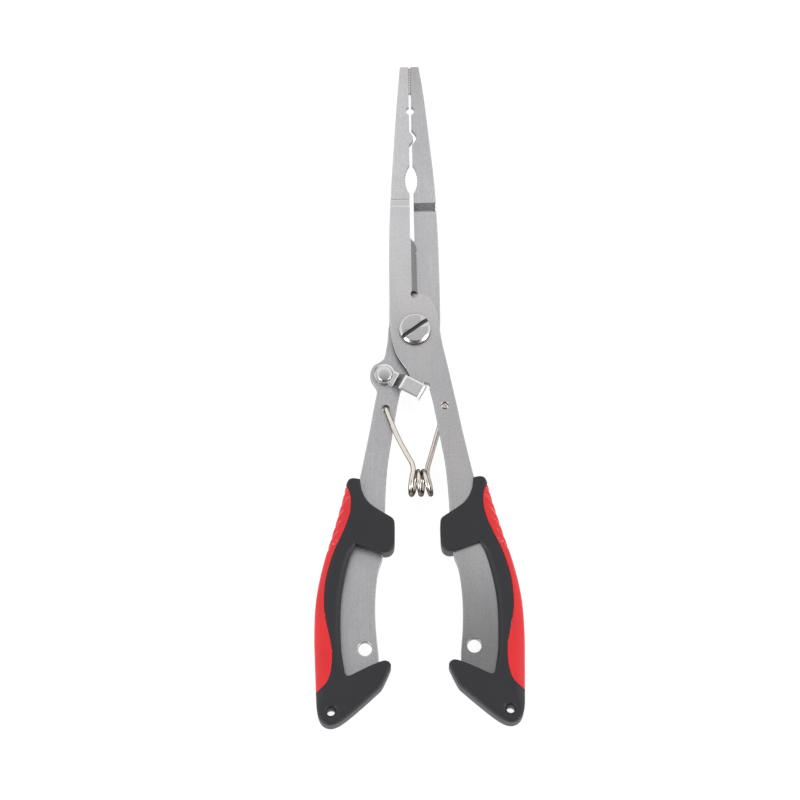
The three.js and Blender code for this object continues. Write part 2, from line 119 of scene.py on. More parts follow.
HEAD = {"radius": 5.15, "flat": 4.25, "seat": 3.15, "seat_chamfer": 0.12, "rim": 3.85, "top": 5.0,
        "crown": 1.75, "crown_from": 3.75, "crown_angles": (20, 74), "round": 0.07,
        "slot": 1.2, "slot_depth": 1.0, "slot_angle": 34.5}
SHANK = {"radius": 3.0, "end": -4.8, "chamfer": 0.4}
WASHER = {"inner": 3.15, "outer": 5.6, "low": -3.5, "high": -3.15}
WASHER_ROUND = 0.06
NUT = {"flats": 10.0, "low": -5.0, "high": -3.55, "bore": 3.12, "chamfer": (0.55, 0.35), "round": 0.08}

LATCH = {"angle": -29.5, "sheet": 1.0, "low": 0.9, "high": 3.9, "eye": 3.3, "half": 2.45, "bore": 1.62,
         "rise_from": 4.45, "rise_to": 6.85, "length": 13.8, "tab_end": 0.35, "bend": 0.95, "corner": 0.45,
         "round": 0.16}
LATCH_STEPS = {"eye": 14, "corner": 6, "across": 8, "bend": 0.12, "run": 0.3}
NARROWEST = 0.01                     # half width of the latch where its eye begins
RIVET = {"shank": 1.5, "under": 1.45, "head": 2.6, "chamfer": (0.1, 0.12), "dome": 1.0, "rim": 0.45,
         "fullness": 0.6, "rear": -3.15, "rear_head": 2.5, "rear_height": 0.9, "rear_rim": 0.3,
         "rear_crown": ((0.5, 0), (0.1, 0.25))}
RIVET_ANGLES = [9.5 * step for step in range(10)]
LATCH_WASHER = {"inner": 1.7, "outer": 3.0, "low": -0.05, "high": 0.35}

WIRE = 0.8                           # the spring wire's radius
WIRE_STEP = 0.45
SPRING_HOLE = (9.55, -25.05)
HOLE_DEPTHS = (2.7, 1.2, 0)          # where the wire's end lies inside a lever, from its sliding face
COIL = {"x": 1.3, "y": -49.8, "radius": 3.7, "turns": 2.5, "pitch": 2.4, "fan": 0.7}
COIL_STEPS = 80
KNEE = {"y": -44.4, "height": 3.1, "left": 0.55, "right": -0.75}
BOW = 0.6                            # how far the left leg bulges outwards
LEG_HEIGHT = 0.95

FLOOR = {"base": 0.14, "glow": 0.92, "half_size": 2.0, "below": 0.02}
SOFTBOX = {"size": 0.45, "power": 5}
CAMERA = {"sensor": 36, "lens": 166.8, "distance": 1.2, "lean": 13.5, "roll": -0.95,
          "aim": (-4.90, -22.24, 0)}


def at(x, y, z):
    """A point of the drawing as a point of the scene."""
    return ORIGIN + Vector((x, y, z)) * MM


# ---------------------------------------------------------------- mesh helpers
def smooth(mesh, sharp_angle=35):
    """Makes a mesh smooth apart from its sharp edges."""
    for polygon in mesh.polygons:
        polygon.use_smooth = True
    mesh.set_sharp_from_angle(angle=math.radians(sharp_angle))


def from_bmesh(name, bm, sharp_angle=35):
    """An object of that bmesh, which is used up, with its faces turned outwards."""
    bmesh.ops.recalc_face_normals(bm, faces=bm.faces)
    mesh = bpy.data.meshes.new(name)
    bm.to_mesh(mesh)
    bm.free()
    smooth(mesh, sharp_angle)
    thing = bpy.data.objects.new(name, mesh)
    bpy.context.scene.collection.objects.link(thing)
    return thing


def apply_modifiers(thing):
    """Turns an object's modifiers into mesh."""
    graph = bpy.context.evaluated_depsgraph_get()
    mesh = bpy.data.meshes.new_from_object(thing.evaluated_get(graph))
    thing.modifiers.clear()
    thing.data = mesh
    smooth(mesh)
    return thing


def cut(thing, tool, how="DIFFERENCE"):
    """Cuts one object by another, which is used up."""
    modifier = thing.modifiers.new("cut", "BOOLEAN")
    modifier.operation = how
    modifier.object = tool
    modifier.solver = "EXACT"
    apply_modifiers(thing)
    bpy.data.objects.remove(tool)
    return thing


def bevel(thing, width, limit):
    modifier = thing.modifiers.new("edges", "BEVEL")
    modifier.width = width * MM
    modifier.segments = 2
    modifier.limit_method = limit
    modifier.use_clamp_overlap = False
    return modifier


def soften(thing, width, angle=32):
    """Rounds the edges sharper than an angle, and keeps the flat faces flat in their shading."""
    bevel(thing, width, "ANGLE").angle_limit = math.radians(angle)
    return even_shading(apply_modifiers(thing))


def even_shading(thing):
    """Shades large flat faces as flat, beside their rounded edges."""
    modifier = thing.modifiers.new("shading", "WEIGHTED_NORMAL")
    modifier.keep_sharp = True
    modifier.weight = 100
    return thing


def circle(sides):
    """The x and y of a regular polygon's corners, one unit from its centre."""
    turns = [2 * math.pi * side / sides for side in range(sides)]
    return [(math.cos(turn), math.sin(turn)) for turn in turns]


def lathe(name, profile, foot, sides=96):
    """A closed solid from (radius, height) points in millimetres, turned about the vertical axis through a
    foot point."""
    bm = bmesh.new()
    rings = []
    for radius, height in profile:
        if radius == 0:
            rings.append([bm.verts.new(foot + Vector((0, 0, height * MM)))])
        else:
            rings.append([bm.verts.new(foot + Vector((radius * x, radius * y, height)) * MM)
                          for x, y in circle(sides)])
    hollow = profile[0][0] != 0
    for low, high in zip(rings, rings[1:] + rings[:1] if hollow else rings[1:]):
        for side in range(sides):
            after = (side + 1) % sides
            corners = [low[side % len(low)], low[after % len(low)],
                       high[after % len(high)], high[side % len(high)]]
            face = list(dict.fromkeys(corners))
            if len(face) > 2:
                bm.faces.new(face)
    return from_bmesh(name, bm)


def arc(centre, radius, start, end, steps):
    """Points on an arc, in degrees, as (x, y) pairs."""
    points = []
    for step in range(steps + 1):
        turn = math.radians(start + (end - start) * step / steps)
        points.append((centre[0] + radius * math.cos(turn), centre[1] + radius * math.sin(turn)))
    return points


# ---------------------------------------------------------------- materials
NOISE_RANGE = (0.3, 0.7)             # where nearly all of a noise's values lie
WARM_TONE = (1.015, 1.0, 0.98)
# stretches along the tool over which the levers' painted shade changes
TIP_FADE, ARM_FADE, TANG_FADE = (50, 88), (35, -25), (-64, -108)    # along the tool


def new_material(name, base, metallic, roughness):
    material = bpy.data.materials.new(name)
    material.use_nodes = True
    shader = material.node_tree.nodes["Principled BSDF"]
    shader.inputs["Base Color"].default_value = (*base, 1)
    shader.inputs["Metallic"].default_value = metallic
    shader.inputs["Roughness"].default_value = roughness
    return material, shader


def tree_of(owner):
    return owner.node_tree.nodes, owner.node_tree.links


def noise(material, scale, detail, roughness=0.55):
    """Noise on millimetre coordinates, with a scale for each axis."""
    nodes, links = tree_of(material)
    coordinates = nodes.new("ShaderNodeTexCoord")
    mapping = nodes.new("ShaderNodeMapping")
    mapping.inputs["Scale"].default_value = [s / MM for s in scale]
    texture = nodes.new("ShaderNodeTexNoise")
    texture.inputs["Scale"].default_value = 1
    texture.inputs["Detail"].default_value = detail
    texture.inputs["Roughness"].default_value = roughness
    links.new(coordinates.outputs["Object"], mapping.inputs["Vector"])
    links.new(mapping.outputs["Vector"], texture.inputs["Vector"])
    return texture.outputs["Fac"]


def map_range(owner, value, start, end, low, high, interpolation="LINEAR"):
    """A value taken from the range start to end into the range low to high."""
    nodes, links = tree_of(owner)
    node = nodes.new("ShaderNodeMapRange")
    node.interpolation_type = interpolation
    for socket, limit in zip(("From Min", "From Max", "To Min", "To Max"), (start, end, low, high)):
        node.inputs[socket].default_value = limit
    links.new(value, node.inputs["Value"])
    return node.outputs["Result"]


def spread(material, value, low, high):
    """A noise's middle range, stretched to run from low to high."""
    return map_range(material, value, *NOISE_RANGE, low, high)


def product(owner, *values):
    """The product of node outputs."""
    nodes, links = tree_of(owner)
    result = values[0]
    for value in values[1:]:
        times = nodes.new("ShaderNodeMath")
        times.operation = "MULTIPLY"
        links.new(result, times.inputs[0])
        links.new(value, times.inputs[1])
        result = times.outputs[0]
    return result


def tint(material, shader, base, shade, warmth=None):
    """Base colour times a grey shade, with patches pulled towards a warmer tone."""
    nodes, links = tree_of(material)
    mix = nodes.new("ShaderNodeMix")
    mix.data_type = "RGBA"
    mix.inputs["A"].default_value = (*base, 1)
    mix.inputs["B"].default_value = (*[b * w for b, w in zip(base, WARM_TONE)], 1)
    if warmth is None:
        mix.inputs["Factor"].default_value = 0
    else:
        links.new(warmth, mix.inputs["Factor"])
    scaled = nodes.new("ShaderNodeVectorMath")
    scaled.operation = "SCALE"
    links.new(mix.outputs["Result"], scaled.inputs[0])
    links.new(shade, scaled.inputs["Scale"])
    links.new(scaled.outputs[0], shader.inputs["Base Color"])


def bump(material, shader, height, distance, strength):
    """Fine relief from a value, its distance in millimetres."""
    nodes, links = tree_of(material)
    bumps = nodes.new("ShaderNodeBump")
    bumps.inputs["Strength"].default_value = strength
    bumps.inputs["Distance"].default_value = distance * MM
    links.new(height, bumps.inputs["Height"])
    links.new(bumps.outputs["Normal"], shader.inputs["Normal"])


def painted_shade_along(material, start, end, shade):
    """Painted shade along the tool: from 1 at one place to a shade at another."""
    nodes, links = tree_of(material)
    coordinates = nodes.new("ShaderNodeTexCoord")
    axes = nodes.new("ShaderNodeSeparateXYZ")
    links.new(coordinates.outputs["Object"], axes.inputs[0])
    return map_range(material, axes.outputs["Y"], at(0, start, 0).y, at(0, end, 0).y, 1.0, shade,
                     "SMOOTHSTEP")


def plate_steel(name, base, roughness, tip_painted_shade, arm_painted_shade, tang_painted_shade):
    """Stamped stainless plate: tumbled grain over faint lengthwise rolling lines and cloudy patches, times
    painted shade along the tool.
    """
    material, shader = new_material(name, base, 1.0, roughness)
    grain = noise(material, (2.1, 1.5, 2.1), detail=4)
    lines = noise(material, (3.2, 0.07, 3.2), detail=3)
    clouds = noise(material, (0.11, 0.05, 0.11), detail=2)
    shade = product(material, spread(material, grain, 0.91, 1.07), spread(material, lines, 0.96, 1.035),
                    spread(material, clouds, 0.95, 1.04), painted_shade_along(material, *TIP_FADE, tip_painted_shade),
                    painted_shade_along(material, *ARM_FADE, arm_painted_shade), painted_shade_along(material, *TANG_FADE, tang_painted_shade))
    warmth = noise(material, (0.07, 0.045, 0.07), detail=1)
    tint(material, shader, base, shade, spread(material, warmth, 0, 1))
    rough = product(material, spread(material, grain, roughness * 0.88, roughness * 1.15),
                    spread(material, lines, 0.93, 1.07))
    material.node_tree.links.new(rough, shader.inputs["Roughness"])
    bump(material, shader, product(material, grain, lines), 0.012, 0.6)
    return material


def turned_steel(name, base, roughness):
    """Bright turned or pressed hardware with fine random scratches."""
    material, shader = new_material(name, base, 1.0, roughness)
    grain = noise(material, (3.0, 3.0, 3.0), detail=4)
    scratches = noise(material, (6.0, 0.5, 6.0), detail=2)
    tint(material, shader, base, product(material, spread(material, grain, 0.93, 1.05),
                                         spread(material, scratches, 0.96, 1.03)))
    rough = product(material, spread(material, grain, roughness * 0.8, roughness * 1.25),
                    spread(material, scratches, 0.9, 1.1))
    material.node_tree.links.new(rough, shader.inputs["Roughness"])
    bump(material, shader, product(material, grain, scratches), 0.006, 0.5)
    return material


def drawn_wire(name, base):
    """Bright wire with patches of haze and fine drawing marks."""
    material, shader = new_material(name, base, 1.0, 0.2)
    shader.inputs["Specular Tint"].default_value = (0.16, 0.15, 0.15, 1)
    patches = noise(material, (0.8, 0.8, 0.8), detail=3)
    fine = noise(material, (7.0, 1.2, 7.0), detail=2)
    tint(material, shader, base, product(material, spread(material, patches, 0.92, 1.05),
                                         spread(material, fine, 0.96, 1.03)))
    material.node_tree.links.new(spread(material, patches, 0.15, 0.27), shader.inputs["Roughness"])
    bump(material, shader, fine, 0.005, 0.4)
    return material


def moulded(name, base, roughness, specular, texture):
    """Moulded handle material with a fine spark-eroded skin."""
    material, shader = new_material(name, base, 0.0, roughness)
    shader.inputs["Specular IOR Level"].default_value = specular
    skin = noise(material, (texture, texture, texture), detail=3, roughness=0.6)
    clouds = noise(material, (0.16, 0.1, 0.16), detail=2)
    tint(material, shader, base, product(material, spread(material, skin, 0.93, 1.07),
                                         spread(material, clouds, 0.94, 1.05)))
    rough = product(material, spread(material, skin, roughness * 0.93, roughness * 1.08),
                    spread(material, clouds, 0.96, 1.05))
    material.node_tree.links.new(rough, shader.inputs["Roughness"])
    bump(material, shader, skin, 0.03, 0.5)
    return material


# one steel in lit and shaded copies, as painted shade: the front lever's lighter at the jaws and darker
# towards its tang, the rear lever's darker
FRONT_STEEL = plate_steel("front_lever_steel", (0.66, 0.654, 0.675), 0.34, tip_painted_shade=0.94, arm_painted_shade=0.79,
                          tang_painted_shade=0.55)
REAR_STEEL = plate_steel("rear_lever_steel", (0.585, 0.58, 0.60), 0.34, tip_painted_shade=0.85, arm_painted_shade=0.94,
                         tang_painted_shade=0.95)
RAMP_PAINTED_SHADE = plate_steel("front_ramp_painted_shade", (0.575, 0.565, 0.57), 0.34, tip_painted_shade=1, arm_painted_shade=1,
                         tang_painted_shade=1)
# darker copies of the steel: painted shade, and on the levers' sides also their sheared finish
SHEARED_AND_SHADED_STEEL = turned_steel("sheared_steel_painted_shade", (0.30, 0.297, 0.30), 0.42)
SHADED_STEEL = turned_steel("shaded_steel", (0.11, 0.108, 0.11), 0.5)
HARDWARE = turned_steel("hardware_steel", (0.60, 0.595, 0.60), 0.24)
LATCH_STEEL = turned_steel("latch_steel", (0.76, 0.75, 0.755), 0.16)
LATCH_PAINTED_SHADE = turned_steel("latch_steel_shaded", (0.2, 0.198, 0.2), 0.3)
SPRING_STEEL = drawn_wire("spring_wire", (0.72, 0.66, 0.60))
SHADED_WIRE = drawn_wire("spring_wire_painted_shade", (0.27, 0.24, 0.215))
BLACK = moulded("grip_black", (0.0145, 0.0138, 0.0178), 0.52, 0.4, 4.0)
RED = moulded("inlay_red", (0.60, 0.014, 0.018), 0.48, 0.4, 3.0)
RED_PAINTED_HIGHLIGHT = moulded("inlay_red_painted_highlight", (0.70, 0.105, 0.11), 0.55, 0.5, 3.0)


def place(piece, body, material, slot, *nodes):
    """Gives a piece its body and finish, and hides the plain solids that it stands for; the slot is not used.
    """
    piece.data.materials.clear()
    piece.data.materials.append(material)
    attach(piece, body)
    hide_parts(*nodes)


# ---------------------------------------------------------------- levers
def ramp(y, joggle):
    return min(max((y - joggle["start"]) / (joggle["end"] - joggle["start"]), 0), 1)


def smooth_ramp(y, joggle):
    """The same ramp with its two bends rounded."""
    length = joggle["end"] - joggle["start"]

    def area(u):
        return u * u / (2 * length) if u < length else u - length / 2

    upper = max(y - joggle["start"] + BEND_LENGTH / 2, 0)
    lower = max(y - joggle["start"] - BEND_LENGTH / 2, 0)
    return (area(upper) - area(lower)) / BEND_LENGTH


def weigh_edges(bm):
    """Sets how strongly each edge of a flat plate is rounded."""
    weights = bm.edges.layers.float.new("bevel_weight_edge")
    for edge in bm.edges:
        if len(edge.link_faces) != 2:
            continue
        turn = math.degrees(edge.calc_face_angle(0))
        middle = (edge.verts[0].co + edge.verts[1].co) / 2 - ORIGIN
        fine = abs(middle.x) < FINE_ZONE["half_width"] * MM and middle.y > FINE_ZONE["from"] * MM
        upright = abs((edge.verts[0].co - edge.verts[1].co).normalized().z) > 0.9
        if turn > (50 if upright else 15) and not (fine and upright):
            edge[weights] = FINE_ROUND / EDGE_ROUND if fine else 1.0


def lever(node, name):
    """The stamped plate, with rounded edges and a joggle bent with a radius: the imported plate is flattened,
    rounded while its faces are flat, and bent again."""
    joggle = JOGGLES[node]
    bm = bmesh.new()
    bm.from_mesh(frame["nodes"][node].data)
    bmesh.ops.remove_doubles(bm, verts=bm.verts, dist=WELD * MM)
    for vertex in bm.verts:
        vertex.co.z -= joggle["shift"] * MM * ramp((vertex.co.y - ORIGIN.y) / MM, joggle)
    bmesh.ops.dissolve_limit(bm, angle_limit=math.radians(0.6), verts=bm.verts, edges=bm.edges)
    weigh_edges(bm)
    plate = from_bmesh(name, bm)
    # sliding along seams would overshoot where a seam grazes a hole
    bevel(plate, EDGE_ROUND, "WEIGHT").loop_slide = False
    apply_modifiers(plate)

    bm = bmesh.new()
    bm.from_mesh(plate.data)
    start = joggle["start"] - BEND_LENGTH / 2
    length = joggle["end"] - joggle["start"] + BEND_LENGTH
    for step in range(BEND_SLICES + 1):
        bmesh.ops.bisect_plane(bm, geom=bm.verts[:] + bm.edges[:] + bm.faces[:], dist=1e-7,
                               plane_co=at(0, start + length * step / BEND_SLICES, 0), plane_no=(0, 1, 0))
    for vertex in bm.verts:
        vertex.co.z += joggle["shift"] * MM * smooth_ramp((vertex.co.y - ORIGIN.y) / MM, joggle)
    bm.to_mesh(plate.data)
    bm.free()
    plate.data.set_sharp_from_angle(angle=math.radians(38))
    return even_shading(plate)


def refinish(piece, material, chosen):
    """Gives another finish to the faces that a test picks by centre and normal."""
    piece.data.materials.append(material)
    for polygon in piece.data.polygons:
        if chosen((polygon.center - ORIGIN) / MM, polygon.normal):
            polygon.material_index = len(piece.data.materials) - 1


def sheared_and_shaded_edges(node):
    """The sides of a lever, darker partly for their sheared finish and partly as painted shade, and a dark
    line along the crease at the outer end of its joggle.
    """
    crease = JOGGLES[node]["end"]
    return lambda centre, normal: abs(normal.z) < SIDE_SLOPE or abs(centre.y - crease) < 0.14


def on_ramp(centre, normal):
    """The sloping face of the front lever's joggle, which is painted a darker shade."""
    joggle = JOGGLES["front_lever"]
    return normal.z > SIDE_SLOPE and joggle["start"] + 0.3 < centre.y < joggle["end"] - 0.3


def in_a_corner(centre, normal):
    """Walls that light hardly reaches: the keyhole's, and where the hub stands over the other lever."""
    keyhole = (abs(centre.x) < KEYHOLE_ZONE["half_width"]
               and KEYHOLE_ZONE["from"] < centre.y < KEYHOLE_ZONE["to"])
    hub = centre.x < 0 < centre.z and HUB_ZONE["from"] < centre.y < HUB_ZONE["to"]
    return abs(normal.z) < SIDE_SLOPE and (keyhole or hub)


front_plate = lever("front_lever", "front_lever_plate")
rear_plate = lever("rear_lever", "rear_lever_plate")
place(front_plate, "front_half", FRONT_STEEL, "lever_steel", "front_lever")
place(rear_plate, "rear_half", REAR_STEEL, "lever_steel", "rear_lever")
# a darker copy of the front lever's steel on its joggle ramp, as painted shade
refinish(front_plate, RAMP_PAINTED_SHADE, on_ramp)
refinish(front_plate, SHEARED_AND_SHADED_STEEL, sheared_and_shaded_edges("front_lever"))
refinish(rear_plate, SHEARED_AND_SHADED_STEEL, sheared_and_shaded_edges("rear_lever"))
for plate in (front_plate, rear_plate):
    refinish(plate, SHADED_STEEL, in_a_corner)


# ---------------------------------------------------------------- grips
def outline_loops(node):
    """The outlines of a grip solid's top face as rounds of (x, y) millimetres, the solid on their left."""
    bm = bmesh.new()
    bm.from_mesh(frame["nodes"][node].data)
    bmesh.ops.remove_doubles(bm, verts=bm.verts, dist=WELD * MM)
    top = max(vertex.co.z for vertex in bm.verts) - 0.01 * MM
    following = {}
    for face in bm.faces:
        if any(vertex.co.z < top for vertex in face.verts):
            continue
        for loop in face.loops:
            other = [f for f in loop.edge.link_faces if f is not face][0]
            if any(vertex.co.z < top for vertex in other.verts):
                following[loop.vert.index] = loop.link_loop_next.vert.index
    bm.verts.ensure_lookup_table()
    rounds = []
    while following:
        first, index = following.popitem()
        chain = [first]
        while index != first:
            chain.append(index)
            index = following.pop(index)
        rounds.append([((bm.verts[i].co - ORIGIN) / MM).xy.to_tuple() for i in chain])
    bm.free()
    return [np.array(r) for r in rounds]


def resample(points, step):
    """Splits an outline into short stretches, curving gently between corners."""
    count = len(points)
    before, after = np.roll(points, 1, 0), np.roll(points, -1, 0)
    arrive, leave = points - before, after - points
    turns = np.abs(np.arctan2(np.cross(arrive, leave), (arrive * leave).sum(1)))
    tangents = []
    for k in range(count):
        along = arrive[k] + leave[k]
        tangents.append(along / np.linalg.norm(along) if turns[k] < math.radians(38) else None)
    result = []
    for k in range(count):
        span = leave[k]
        length = np.linalg.norm(span)
        straight = span / length
        start = straight if tangents[k] is None else tangents[k]
        end = straight if tangents[(k + 1) % count] is None else tangents[(k + 1) % count]
        steps = max(1, math.ceil(length / step))
        for t in np.arange(steps) / steps:
            h1, h2 = t ** 3 - 2 * t ** 2 + t, t ** 3 - t ** 2
            ease = 3 * t ** 2 - 2 * t ** 3
            result.append(points[k] + ease * span + (h1 * start + h2 * end) * length)
    return np.array(result)


def ways(points, starts, ends):
    """From the nearest place on each stretch of wall to each point."""
    span = ends - starts
    offset = points[:, None] - starts[None]
    share = np.clip((offset * span).sum(2) / np.maximum((span * span).sum(1), 1e-12), 0, 1)
    return offset - share[..., None] * span


def distances(points, starts, ends):
    return np.linalg.norm(ways(points, starts, ends), axis=2)


def step_up(value, low, high):
    t = np.clip((value - low) / (high - low), 0, 1)
    return t * t * (3 - 2 * t)


def wall_radii(starts, ends, side):
    """How much the front and back edges are rounded along each stretch of wall: most on the palm side,
    less along the finger window, and least round the guard and the tail hook."""
    middle = (starts + ends) / 2
    span = ends - starts
    outward = side * span[:, 1] / np.linalg.norm(span, axis=1)
    x, y = side * middle[:, 0], middle[:, 1]

    def share(facing, zone):
        inside = step_up(facing, *zone["facing"]) * step_up(x, *zone["x"]) * step_up(y, *zone["from"])
        return inside * (1 - step_up(y, *zone["to"]))

    palm = (RADII["outer"] - RADII["plain"]) * share(outward, PALM_ZONE)
    window = (RADII["window"] - RADII["plain"]) * share(-outward, WINDOW_ZONE)
    return RADII["plain"] + palm + window


class Outline:
    """A grip's or an inlay's walls, cut into short stretches."""

    def __init__(self, node, side):
        self.rounds = [resample(r, WALL_STEP) for r in outline_loops(node)]
        self.starts = np.concatenate(self.rounds)
        self.ends = np.concatenate([np.roll(r, -1, 0) for r in self.rounds])
        self.radii = wall_radii(self.starts, self.ends, side)
        for first, last in self.slices():
            if (last - first) * WALL_STEP < HOLE_GIRTH:
                self.radii[first:last] = RADII["hole"]

    def slices(self):
        """The first index of each round of walls, and the one after its last."""
        index = 0
        for points in self.rounds:
            yield index, index + len(points)
            index += len(points)

    def mark_seam(self, other):
        """Marks the walls that face the other piece."""
        gap = distances((self.starts + self.ends) / 2, other.starts, other.ends).min(1)
        self.seam = gap < SEAM_REACH

    def close_seam(self, other):
        """Draws the walls that face the other piece up to it, so that no light shows between them."""
        way = ways(self.starts, other.starts, other.ends)
        nearest = np.linalg.norm(way, axis=2).argmin(1)
        step = way[np.arange(len(way)), nearest]
        near = np.linalg.norm(step, axis=1) < SEAM_REACH
        self.starts[near] -= SEAM_CLOSING * step[near]
        self.rounds = [self.starts[first:last] for first, last in self.slices()]
        self.ends = np.concatenate([np.roll(r, -1, 0) for r in self.rounds])

    def holds(self, points):
        """Whether each point lies inside, by counting crossings."""
        x, y = points[:, :1], points[:, 1:]
        (x0, y0), (x1, y1) = self.starts.T, self.ends.T
        crosses = (y0 > y) != (y1 > y)
        with np.errstate(divide="ignore", invalid="ignore"):
            right = x < (x1 - x0) * (y - y0) / (y1 - y0) + x0
        return (crosses & right).sum(1) % 2 == 1


def fill_points(outline):
    """Points inside an outline: rows that follow its rounded edges, and a loose grid between them."""
    starts, ends = outline.starts, outline.ends
    span = ends - starts
    inward = np.stack([-span[:, 1], span[:, 0]], 1) / np.linalg.norm(span, axis=1)[:, None]
    joint = inward + np.concatenate([np.roll(inward[first:last], 1, 0) for first, last in outline.slices()])
    joint /= np.linalg.norm(joint, axis=1)[:, None]
    found = []
    for angle in ROW_ANGLES:
        depth = np.where(outline.seam, RADII["seam"], outline.radii) * (1 - math.cos(math.radians(angle)))
        row = starts + joint * depth[:, None]
        room = distances(row, starts, ends).min(1)
        found.append(row[(room > ROW_CLEARANCE * depth) & outline.holds(row)])
    low, high = starts.min(0), starts.max(0)
    columns, lines = (np.arange(low[axis], high[axis], GRID_STEP) for axis in (0, 1))
    grid = np.stack(np.meshgrid(columns, lines), -1).reshape(-1, 2)
    grid[:, 0] += np.where(np.round((grid[:, 1] - low[1]) / GRID_STEP) % 2 == 1, GRID_STEP / 2, 0)
    rows = np.concatenate(found)
    clear = distances(grid, starts, ends).min(1) > GRID_CLEARANCE
    clear &= outline.holds(grid)
    clear &= np.linalg.norm(grid[:, None] - rows[None], axis=2).min(1) > 0.5 * GRID_STEP
    return np.concatenate([rows, grid[clear]])


def drops(points, outline, other):
    """How far the front face sinks below the full thickness at each point."""
    free = ~outline.seam
    free_other = ~other.seam
    starts = np.concatenate([outline.starts[free], other.starts[free_other]])
    ends = np.concatenate([outline.ends[free], other.ends[free_other]])
    radii = np.concatenate([outline.radii[free], other.radii[free_other]])
    seam_starts, seam_ends = outline.starts[outline.seam], outline.ends[outline.seam]

    def fall(distance, radius):
        inside = np.clip(radius - distance, 0, radius)
        return radius - np.sqrt(np.maximum(radius ** 2 - inside ** 2, 0))

    edge = fall(distances(points, starts, ends), radii).max(1)
    seam = fall(distances(points, seam_starts, seam_ends), RADII["seam"]).max(1)
    return edge + SEAM_SINK * seam


def groove_depth(points, side):
    """The slanted grip grooves across an inlay's outer edge."""
    x, y = side * points[:, 0], points[:, 1]
    depth = np.zeros(len(points))
    for k in range(GROOVES["count"]):
        centre = GROOVES["first"] - k * GROOVES["pitch"]
        edge_x = PALM_LINE["x"] + PALM_LINE["slope"] * (y - PALM_LINE["y"])
        inside = edge_x - x
        across = (y - centre) - GROOVES["slant"] * inside
        shape = np.clip(1 - np.abs(across) / (GROOVES["width"] / 2), 0, 1)
        fading = step_up(inside, GROOVES["full"] * GROOVES["reach"], GROOVES["reach"])
        depth = np.maximum(depth, shape * (1 - fading))
    return GROOVES["depth"] * depth


def moulding(name, outline, other, side, grooved=False):
    """A closed solid between the front and back faces, rounded along its walls."""
    walls = outline.starts
    points = np.concatenate([walls, fill_points(outline)])
    edges = []
    for first, last in outline.slices():
        edges += [(k, k + 1 if k + 1 < last else first) for k in range(first, last)]
    flat, _, faces, origin, _, _ = delaunay_2d_cdt([Vector(p) for p in points], edges, [], 0, 1e-5)
    flat = np.array([tuple(v) for v in flat])
    home = {}
    for index, sources in enumerate(origin):
        for source in sources:
            home[source] = index
    centres = np.array([flat[list(f)].mean(0) for f in faces])
    faces = [f for f, keep in zip(faces, outline.holds(centres)) if keep]
    heights = GRIP_HALF - drops(flat, outline, other)
    if grooved:
        depth = groove_depth(flat, side)
        heights -= depth
        room = distances(flat, outline.starts[~outline.seam], outline.ends[~outline.seam]).min(1)
        flat[:, 0] -= side * GROOVES["inset"] * depth * (1 - step_up(room, 0.0, GROOVES["inset_reach"]))
    bm = bmesh.new()
    front = [bm.verts.new(at(x, y, z)) for (x, y), z in zip(flat, heights)]
    back = [bm.verts.new(at(x, y, -z)) for (x, y), z in zip(flat, heights)]
    for face in faces:
        bm.faces.new([front[k] for k in face])
        bm.faces.new([back[k] for k in reversed(face)])
    for a, b in edges:
        a, b = home[a], home[b]
        bm.faces.new([front[b], front[a], back[a], back[b]])
    loose = [v for v in bm.verts if not v.link_faces]
    bmesh.ops.delete(bm, geom=loose, context="VERTS")
    return from_bmesh(name, bm, 40)


def handle(side, body, grip_node, inlay_node):
    """A grip and its inlay: side is -1 for the left handle and 1 for the right one."""
    grip, inlay = Outline(grip_node, side), Outline(inlay_node, side)
    grip.mark_seam(inlay)
    inlay.mark_seam(grip)
    inlay.close_seam(grip)
    place(moulding(f"{grip_node}_moulding", grip, inlay, side), body, BLACK, "grip_black", grip_node)
    insert = moulding(f"{inlay_node}_moulding", inlay, grip, side, grooved=True)
    place(insert, body, RED, "inlay_red", inlay_node)
    # the deeper parts of the grooves are painted paler, as highlights
    refinish(insert, RED_PAINTED_HIGHLIGHT,
             lambda centre, normal: groove_depth(np.array([centre.xy]), side)[0] > HIGHLIGHT_FROM)


handle(-1, "rear_half", "left_grip", "left_inlay")
handle(1, "front_half", "right_grip", "right_inlay")


# ---------------------------------------------------------------- pivot hardware
def slot_tool():
    """A box as wide as the screw's slot, twice as deep and longer than the head."""
    size = [length * MM for length in (20, HEAD["slot"], 2 * HEAD["slot_depth"])]
    bm = bmesh.new()
    bmesh.ops.create_cube(bm, size=1, matrix=Matrix.Translation(PIVOT + Vector((0, 0, HEAD["top"])) * MM)
                          @ Matrix.Rotation(math.radians(HEAD["slot_angle"]), 4, "Z")
                          @ Matrix.Diagonal((*size, 1)))
    return from_bmesh("tool", bm)


def pivot_screw():
    """A plain shank and a head with a rounded rim, a flat top and a slot."""
    radius, seat, top = HEAD["radius"], HEAD["seat"], HEAD["top"]
    shank, end = SHANK["radius"], SHANK["end"]
    crown = arc((HEAD["crown_from"], top - HEAD["crown"]), HEAD["crown"], *HEAD["crown_angles"], 7)
    profile = [(0, end), (shank - SHANK["chamfer"], end), (shank, end + SHANK["chamfer"]), (shank, seat),
               (radius - HEAD["seat_chamfer"], seat), (radius, seat + HEAD["seat_chamfer"]),
               (radius, HEAD["rim"]), *[(min(r, radius), min(z, top)) for r, z in crown],
               (HEAD["flat"], top), (0, top)]
    return soften(cut(lathe("pivot_screw_turned", profile, PIVOT), slot_tool()), HEAD["round"])


